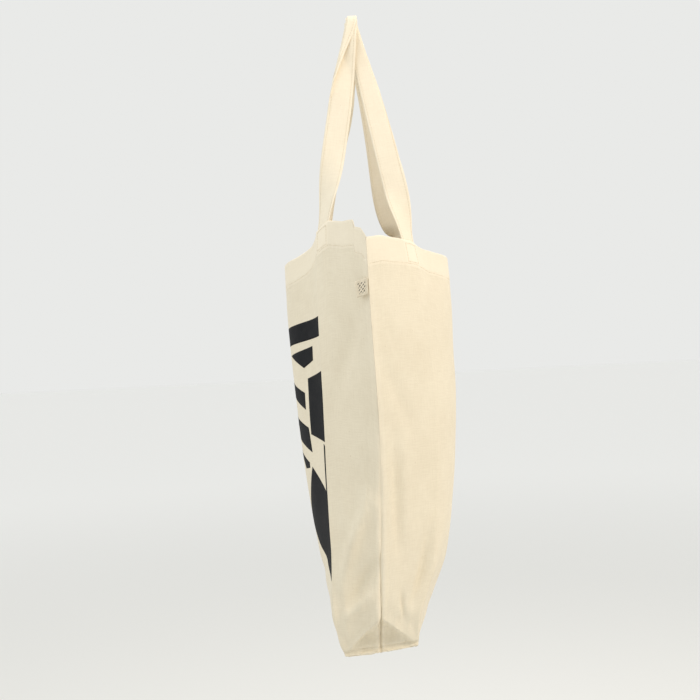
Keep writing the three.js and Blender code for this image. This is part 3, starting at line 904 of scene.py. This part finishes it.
# Painted light: doubled cloth is painted paler, in place of the light that one layer lets through to the dark
# inside.
DOUBLED_CLOTH_PAINTED_LIGHT = (0.93, 0.84, 0.68, 1)  # canvas with more canvas behind it
INK_BLACK = (0.006, 0.007, 0.009, 1)
INK_GREY = (0.022, 0.022, 0.023, 1)
BARE_YARN = (0.35, 0.31, 0.24, 1)
MARK_BLACK = (0.035, 0.032, 0.030, 1)


def canvas_finish(name, pale, dark, pitch, flecks=1.0, doubled=False):
    """Unbleached cotton canvas: uneven yarns, slubs, a few seed flecks, a soft mottling, and painted shade
    between the yarns.
    """
    paint = Paint(name)
    place, across, along = paint.cloth()
    solid = paint.coordinate("Object")
    height = weave(across, along, pitch)
    warp_slub = paint.streaks(place, 900.0, 55.0, 2.0, 0.6)
    weft_slub = paint.streaks(place, 60.0, 850.0, 2.0, 0.6)
    slub = (warp_slub + weft_slub) * 0.5
    mottle = paint.noise(solid, 24.0, 4.0, 0.6)
    cloud = paint.noise(solid, 6.0, 2.0, 0.5)
    shade = slub.ramp(0.34, 0.66) * 0.55 + mottle.ramp(0.3, 0.7) * 0.30 + cloud.ramp(0.3, 0.7) * 0.15
    colour = paint.blend(shade, dark, pale)
    seeds = paint.streaks(place, 700.0, 420.0, 1.0, 0.4).ramp(0.745, 0.80)
    colour = paint.blend(seeds * (0.45 * flecks), colour, SEED_BROWN)
    # Painted shade: the hollows between the yarns are painted darker.
    painted_hollow_shade = 1.0 - height.ramp(0.0, 0.55)
    colour = paint.blend(painted_hollow_shade * 0.16, colour, PAINTED_WEAVE_SHADE)
    # Painted light: paler where more cloth lies behind, in place of the light that one layer lets through to
    # the dark inside.
    if doubled:
        layers = paint.node("ShaderNodeAttribute", {"attribute_name": "layers"}, output="Fac")
        colour = paint.blend(layers * 0.75, colour, DOUBLED_CLOTH_PAINTED_LIGHT)
    roughness = 0.86 + slub * 0.10
    yarn = paint.bump(height, 0.35, 0.00022)
    lumps = paint.bump(slub, 0.5, 0.00035, yarn)
    return paint.finish(colour, roughness, lumps, Specular_IOR_Level=0.25, Sheen_Weight=0.12)


def thread_finish(name, pale, dark):
    """Spun sewing thread: fine twist with painted shade in its grooves, slightly glossier than the cloth."""
    paint = Paint(name)
    solid = paint.coordinate("Object")
    split = paint.node("ShaderNodeSeparateXYZ", {}, {0: solid})
    up = Signal(paint, split.socket.node.outputs[2])
    side = Signal(paint, split.socket.node.outputs[1])
    twist = ((split + up + side) * 9000.0).sine() * 0.5 + 0.5
    tone = paint.noise(solid, 180.0, 2.0, 0.5).ramp(0.3, 0.7)
    # Painted shade: darker in the grooves of the twist.
    colour = paint.blend(tone * 0.6 + twist * 0.4, dark, pale)
    roughness = 0.6 + tone * 0.15
    return paint.finish(colour, roughness, paint.bump(twist, 0.3, 0.0001), Specular_IOR_Level=0.3)


def ink_finish(name):
    """Matt black screen-printing ink, thin enough that the yarns still show through it, with a painted
    highlight on the raised yarns.
    """
    paint = Paint(name)
    place, across, along = paint.cloth()
    solid = paint.coordinate("Object")
    height = weave(across, along, CANVAS_YARN)
    patchy = paint.noise(solid, 55.0, 4.0, 0.65)
    worn = paint.streaks(place, 900.0, 700.0, 2.0, 0.6)
    # Painted highlight: the ink is paler grey on the raised yarns.
    tone = patchy.ramp(0.35, 0.75) * 0.6 + height.ramp(0.5, 1.0) * 0.4
    colour = paint.blend(tone, INK_BLACK, INK_GREY)
    bare = worn.ramp(0.70, 0.80) * (1.0 - height.ramp(0.1, 0.5))
    colour = paint.blend(bare * 0.5, colour, BARE_YARN)
    roughness = 0.62 + patchy * 0.2
    return paint.finish(colour, roughness, paint.bump(height, 0.35, 0.0002), Specular_IOR_Level=0.12)


def label_finish(name):
    """Woven label tape: fine satin ribs, and rows of small dark abstract marks."""
    paint = Paint(name)
    place, across, along = paint.cloth()
    rib = (along * (2 * math.pi / 0.00042)).sine() * 0.5 + 0.5
    cross = (across * (2 * math.pi / 0.00055)).sine() * 0.5 + 0.5
    tone = paint.noise(place, 260.0, 3.0, 0.6)
    ground = paint.blend(tone.ramp(0.3, 0.7), (0.70, 0.61, 0.46, 1), (0.86, 0.77, 0.60, 1))
    # Painted shade along the ribs: the ribs are painted darker.
    ground = paint.blend(rib * 0.18, ground, PAINTED_WEAVE_SHADE)
    wander = paint.noise(place, 420.0, 1.0, 0.5) * 0.0011
    slant = (along + across * 0.9 + wander) * (1 / 0.0036)
    bars = 1.0 - abs(slant.part() - 0.5).ramp(0.14, 0.20)
    counter = (along - across * 1.3 + wander) * (1 / 0.0052)
    cuts = abs(counter.part() - 0.5).ramp(0.14, 0.20)
    inside = across.ramp(0.0022, 0.0028) * (1.0 - across.ramp(0.0108, 0.0114))
    inside = inside * along.ramp(0.0026, 0.0032) * (1.0 - along.ramp(0.0138, 0.0144))
    marks = bars * cuts * inside
    colour = paint.blend(marks, ground, MARK_BLACK)
    roughness = 0.66 + tone * 0.2
    ribs = paint.bump(rib * 0.7 + cross * 0.3, 0.4, 0.00012)
    return paint.finish(colour, roughness, ribs, Specular_IOR_Level=0.35)


def floor_finish(name, near, far):
    """Pale floor, with painted shade round the middle, under the bag, that damps the lamps' pool of light and
    the light the floor throws back at the bag.
    """
    paint = Paint(name)
    solid = paint.coordinate("Object")
    distance = paint.node("ShaderNodeVectorMath", {"operation": "LENGTH"}, {0: solid}, output="Value")
    tone = paint.noise(solid, 3.0, 4.0, 0.6)
    # Painted shade: darker near the middle of the floor, under the bag.
    colour = paint.blend(distance.ramp(1.0, 9.0), near, far)
    return paint.finish(colour, 0.9 + tone * 0.05, paint.bump(tone, 0.05, 0.002), Specular_IOR_Level=0.1)


canvas = canvas_finish(
    "natural_canvas", (0.840, 0.765, 0.605, 1), (0.745, 0.665, 0.510, 1), CANVAS_YARN, doubled=True
)
inside_canvas = canvas_finish(
    "canvas_raw_edge", (0.86, 0.77, 0.60, 1), (0.74, 0.65, 0.49, 1), CANVAS_YARN
)
webbing = canvas_finish(
    "strap_canvas", (0.915, 0.830, 0.665, 1), (0.835, 0.745, 0.585, 1), WEBBING_YARN, flecks=0.8
)
thread = thread_finish("sewing_thread", (0.84, 0.75, 0.58, 1), (0.66, 0.57, 0.41, 1))
ink = ink_finish("screen_ink")
tape = label_finish("label_tape")


# ---------------------------------------------------------------- the bag's pieces

front_cloth = panel_piece("front_cloth", front, [canvas])
back_cloth = panel_piece("back_cloth", back, [canvas])
for cloth, node in ((front_cloth, "front_panel"), (back_cloth, "back_panel")):
    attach(cloth, "bag")
    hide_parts(node)


def stitch_row(name, panel, path, pitch, lift, length, node):
    """A row of stitches along a path of (around, drop), on the outside of the bag."""
    points, faces = sew(along_cloth(panel, path, pitch, lift), length, THREAD)
    row = new_piece(name, points, faces, [thread])
    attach(row, "bag")
    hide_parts(node)


def box_path(end):
    """Round the box of stitching that holds a handle end."""
    low, high = STRAP_FROM + 0.018, STRAP_TO - 0.018
    if end < 0:
        low, high = 2 - high, 2 - low
    top, foot = 0.004, STITCH_DROP - 0.0022
    return [(low, top), (high, top), (high, foot), (low, foot), (low, top)]


HEM_PATH = [(0.02, STITCH_DROP), (1.0, STITCH_DROP), (1.98, STITCH_DROP)]
for panel, word in ((front, "front"), (back, "back")):
    stitch_row(f"{word}_hem_stitches", panel, HEM_PATH, 0.0034, 0.00005, 0.0027, f"{word}_hem_stitching")
for panel, word in ((front, "front"), (back, "back")):
    for end, which in ((1, "near"), (-1, "far")):
        name = f"{word}_{which}_box_stitch"
        stitch_row(name + "es", panel, box_path(end), 0.0031, 0.00012, 0.0025, name + "ing")


def bound_strip(name, path, deep, node):
    """A seam allowance: two raw edges, bound together by overlock thread, along a path of (point, across)."""
    steps = 6
    rows, uv = [], []
    for r in range(steps + 1):
        t = r / steps
        thick = CANVAS * mix(1.0, 1.25, smooth(0.45, 0.75, t))
        thick *= math.sqrt(max(1 - max((t - 0.93) / 0.07, 0) ** 2 * 0.8, 0.05))
        rows.append([])
        for i, (point, across) in enumerate(path):
            wave = 0.0011 * t * noise.noise(point * 38.0) + 0.0004 * t * math.sin(i * 0.9)
            rows[r].append((point + deep * (ALLOWANCE * t) + across * wave, across * thick))
            uv.append((ALLOWANCE * t, i * 0.0025))
    strip = thin_sheet(name, rows, [inside_canvas, thread], uv)
    add_overlock(strip, path, deep)
    sharp_edges(strip, 60)
    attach(strip, "bag")
    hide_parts(node)


def add_overlock(strip, path, deep):
    """Loops of thread over the raw edge."""
    places = []
    for (start, across), (end, _) in zip(path, path[1:]):
        run = end - start
        count = max(1, round(run.length / 0.0024))
        for k in range(count):
            at = start + run * ((k + 0.5) / count)
            for side in (1, -1):
                middle = at + deep * (ALLOWANCE * 0.78) + across * (side * CANVAS * 1.2)
                places.append((middle, deep + run.normalized() * 0.35, across * side))
    points, faces = sew(places, 0.0040, 0.00045)
    shape = bmesh.new()
    shape.from_mesh(strip.data)
    made = [shape.verts.new(p) for p in points]
    for face in faces:
        new = shape.faces.new([made[i] for i in face])
        new.material_index = 1
        new.smooth = True
    shape.to_mesh(strip.data)
    shape.free()


def straight(start, end, steps, place, across):
    """A path of (point, across) from one number to another: `place` turns each number into a point."""
    return [(Vector(place(mix(start, end, i / steps))), Vector(across)) for i in range(steps + 1)]


def side_allowance_at(end, height):
    x = between(LEVELS, SEAM_OUT, height) - 0.0026
    return end * x, between(LEVELS, SEAM_DRIFT, height), SEAM_HEIGHT * height


def corner_allowance_at(end, along):
    y = along + SEAM_DRIFT[0]
    return end * (BOTTOM_HALF_LENGTH - 0.0024), y, FOOT_TILT[end] * y - 0.0005


for end, word in ((1, "near"), (-1, "far")):
    side_path = straight(0.93, 0.135, 149, lambda height: side_allowance_at(end, height), (0, 1, 0))
    bound_strip(f"{word}_side_allowance", side_path, Vector((-end, 0, 0)), f"{word}_side_seam")
    across, inwards = (0.66, 0, end * 0.75), Vector((-end * 0.75, 0, 0.66))
    corner_path = straight(-0.034, 0.034, 30, lambda along: corner_allowance_at(end, along), across)
    bound_strip(f"{word}_corner_allowance", corner_path, inwards, f"{word}_corner_seam")
bottom_path = straight(-0.125, 0.125, 100, lambda x: (x, 0, -0.0022), (0, 1, 0))
bound_strip("bottom_allowance", bottom_path, Vector((0, 0, 1)), "bottom_seam")


def handle(name, panel, bend, top_height, bunch, over, nodes, body):
    """One handle, from its sewn ends to the hook. Its hinge lies a little above the rim."""
    line = stations(*handle_line(panel, bend, top_height), bunch, top_height)
    piece = handle_piece(name, line, over)
    joint = next(j for j in frame["joints"] if j["child"] == body)
    pivot, axis = Vector(joint["pos_m"]), Vector(joint["axis"]).normalized()
    away = axis.cross(Vector((0, 1, 0)))
    if away.z < 0:
        away = -away
    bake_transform(piece)
    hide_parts(*nodes)


back_bend = HOOK_RADIUS + STRAP_THICKNESS
front_bend = back_bend + 2 * STRAP_THICKNESS + HANDLE_NEST
back_top = HANDLE_TOP - 2 * STRAP_THICKNESS - HANDLE_NEST - STRAP_THICKNESS
handle("front_strap", front, front_bend, HANDLE_TOP - STRAP_THICKNESS, FRONT_BUNCH, True,
       ["front_handle", "front_handle_near_end", "front_handle_far_end"], "front_handle")
handle("back_strap", back, back_bend, back_top, BACK_BUNCH, False,
       ["back_handle", "back_handle_near_end", "back_handle_far_end"], "back_handle")


LABEL_REACH = 0.0138  # how far the folded label stands out from the side seam


def label_piece():
    """A short tape, folded in half and caught in the near side seam, with its cut edges inside."""
    low, high = (Vector(corner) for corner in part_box("side_label"))
    root = Vector((high.x, high.y, (low.z + high.z) / 2))
    height = high.z - low.z
    direction = Vector((low.x - high.x, low.y - high.y, 0)).normalized()
    out = Vector((-direction.y, direction.x, 0))
    if out.x < 0:
        out = -out
    across_steps, up_steps = 30, 14
    rows, uv = [], []
    for r in range(up_steps + 1):
        v = r / up_steps
        rows.append([])
        for i in range(across_steps + 1):
            u = i / across_steps
            across = direction * (LABEL_REACH * u * mix(0.90, 1.16, v))
            curl = 0.0030 * u * u * (1.3 - 0.6 * v) + 0.0003 * math.sin(u * 5 + v * 2)
            place = root + across + Vector((0, 0, (v - 0.5) * height - 0.0026 * u)) + out * curl
            open_up = 0.00042 * math.sin(math.pi * min(u * 1.15, 1)) + 0.00028
            close = math.sqrt(max(1 - max((u - 0.965) / 0.035, 0) ** 2, 0.0))
            rows[r].append((place, out * open_up * close))
            uv.append((u * LABEL_REACH, v * height))
    label = thin_sheet("folded_label", rows, [tape], uv)
    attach(label, "side_label")
    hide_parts("side_label")


label_piece()

# Abstract print: slanted bars, blocks and wedges. Each is four corners, as
# (share of the way from the near crease to the far crease, height above the bottom).
PRINT = [
    ((0.00, 0.352), (0.47, 0.343), (0.47, 0.322), (0.00, 0.330)),
    ((0.60, 0.356), (1.00, 0.348), (1.00, 0.330), (0.60, 0.338)),
    ((0.12, 0.320), (0.44, 0.311), (0.24, 0.296), (0.12, 0.304)),
    ((0.00, 0.292), (0.20, 0.284), (0.20, 0.222), (0.00, 0.216)),
    ((0.25, 0.268), (0.48, 0.280), (0.48, 0.263), (0.25, 0.249)),
    ((0.60, 0.318), (0.78, 0.316), (0.78, 0.262), (0.60, 0.264)),
    ((0.82, 0.312), (1.00, 0.310), (1.00, 0.286), (0.82, 0.288)),
    ((0.86, 0.272), (1.00, 0.270), (1.00, 0.214), (0.86, 0.216)),
    ((0.23, 0.229), (0.48, 0.240), (0.48, 0.215), (0.20, 0.202)),
    ((0.52, 0.246), (0.80, 0.244), (0.80, 0.226), (0.52, 0.228)),
    ((0.26, 0.190), (0.48, 0.200), (0.36, 0.181), (0.26, 0.184)),
    ((0.56, 0.206), (0.76, 0.202), (0.76, 0.168), (0.56, 0.172)),
    ((0.82, 0.198), (1.00, 0.194), (1.00, 0.130), (0.82, 0.134)),
    ((0.00, 0.212), (0.020, 0.214), (0.020, 0.160), (0.00, 0.158)),
    ((0.00, 0.162), (0.22, 0.186), (0.44, 0.118), (0.00, 0.074)),
    ((0.48, 0.150), (0.76, 0.146), (0.76, 0.112), (0.50, 0.116)),
    ((0.60, 0.098), (1.00, 0.110), (1.00, 0.092), (0.60, 0.082)),
]


def print_piece():
    """Each printed shape as a thin film of ink on the front panel, between the creases."""
    points, faces, uv = [], [], []
    from_crease, to_crease = CREASE_SHARE + 0.004, 2 - CREASE_SHARE - 0.004
    for top_near, top_far, foot_far, foot_near in PRINT:
        wide = max(abs(top_far[0] - top_near[0]), abs(foot_far[0] - foot_near[0]))
        tall = max(abs(top_near[1] - foot_near[1]), abs(top_far[1] - foot_far[1]))
        columns, rows = max(3, int(wide * 90)), max(3, int(tall / 0.0025))
        faces += sheet_faces(rows + 1, columns + 1, len(points))
        for lift in (0.00016, 0.00003):
            for r in range(rows + 1):
                for c in range(columns + 1):
                    u, v = c / columns, r / rows
                    share, z = (mix(mix(top_near[k], top_far[k], u), mix(foot_near[k], foot_far[k], u), v)
                                for k in (0, 1))
                    around = mix(from_crease, to_crease, share)
                    points.append(on_cloth(front, around, z / rim_at(front, around), lift))
                    uv.append((around * PANEL_HALF_WIDTH, z))
    film = new_piece("printed_shapes", points, faces, [ink], uv=uv)
    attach(film, "bag")
    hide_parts("front_print")


print_piece()


# ---------------------------------------------------------------- floor, light and camera


def floor_piece():
    bpy.ops.object.select_all(action="DESELECT")
    bpy.ops.mesh.primitive_plane_add(size=300, location=(0, 0, -0.9))
    floor = bpy.context.object
    floor.name = "studio_floor"
    # The darker colour, near the middle, is painted shade under the bag.
    paint = floor_finish("studio_floor_painted_shade", (0.80, 0.80, 0.78, 1), (0.985, 0.985, 0.975, 1))
    floor.data.materials.append(paint)


def soft_light(name, place, aim, size, power, colour):
    """A round lamp at a place, turned towards another, with its width in metres and its power in watts."""
    light = bpy.data.lights.new(name, "AREA")
    light.shape = "DISK"
    light.size = size
    light.energy = power
    light.color = colour
    lamp = bpy.data.objects.new(name, light)
    lamp.location = place
    lamp.rotation_euler = (Vector(aim) - Vector(place)).to_track_quat("-Z", "Y").to_euler()
    bpy.context.scene.collection.objects.link(lamp)


floor_piece()
soft_light("key", (1.0, 1.9, 2.2), (0, 0, 0.3), 0.9, 36, (1.0, 0.86, 0.72))
soft_light("fill", (1.3, -1.9, 1.9), (0, 0, 0.25), 2.0, 6, (0.88, 0.95, 1.0))
soft_light("ceiling", (0.2, -0.9, 2.4), (0, 0, 0.3), 1.8, 12, (0.97, 0.98, 1.0))
soft_light("rear", (-1.8, 0.6, 1.8), (0, 0, 0.3), 1.6, 12, (1.0, 0.95, 0.88))

world = bpy.data.worlds.new("studio")
world.use_nodes = True
surroundings = world.node_tree.nodes["Background"]
surroundings.inputs["Color"].default_value = (0.80, 0.805, 0.79, 1)
surroundings.inputs["Strength"].default_value = 1.02
bpy.context.scene.world = world
bpy.context.scene.view_settings.view_transform = "Standard"

CAMERA_PLACE = Vector((1.04, -0.012, 0.2915))
CAMERA_PITCH = 1.3  # degrees up
CAMERA_YAW = 0.62  # degrees towards the front panel
CAMERA_ROLL = -2.8  # degrees
camera_data = bpy.data.cameras.new("camera")
camera_data.sensor_width = 36
camera_data.lens = 45
camera = bpy.data.objects.new("camera", camera_data)
bpy.context.scene.collection.objects.link(camera)
camera.location = CAMERA_PLACE
pitch, yaw = math.radians(CAMERA_PITCH), math.radians(CAMERA_YAW)
look = Vector((-math.cos(yaw) * math.cos(pitch), -math.sin(yaw) * math.cos(pitch), math.sin(pitch)))
aimed = look.to_track_quat("-Z", "Y").to_matrix()
camera.rotation_euler = (aimed @ Matrix.Rotation(math.radians(CAMERA_ROLL), 3, "Z")).to_euler()
bpy.context.scene.camera = camera
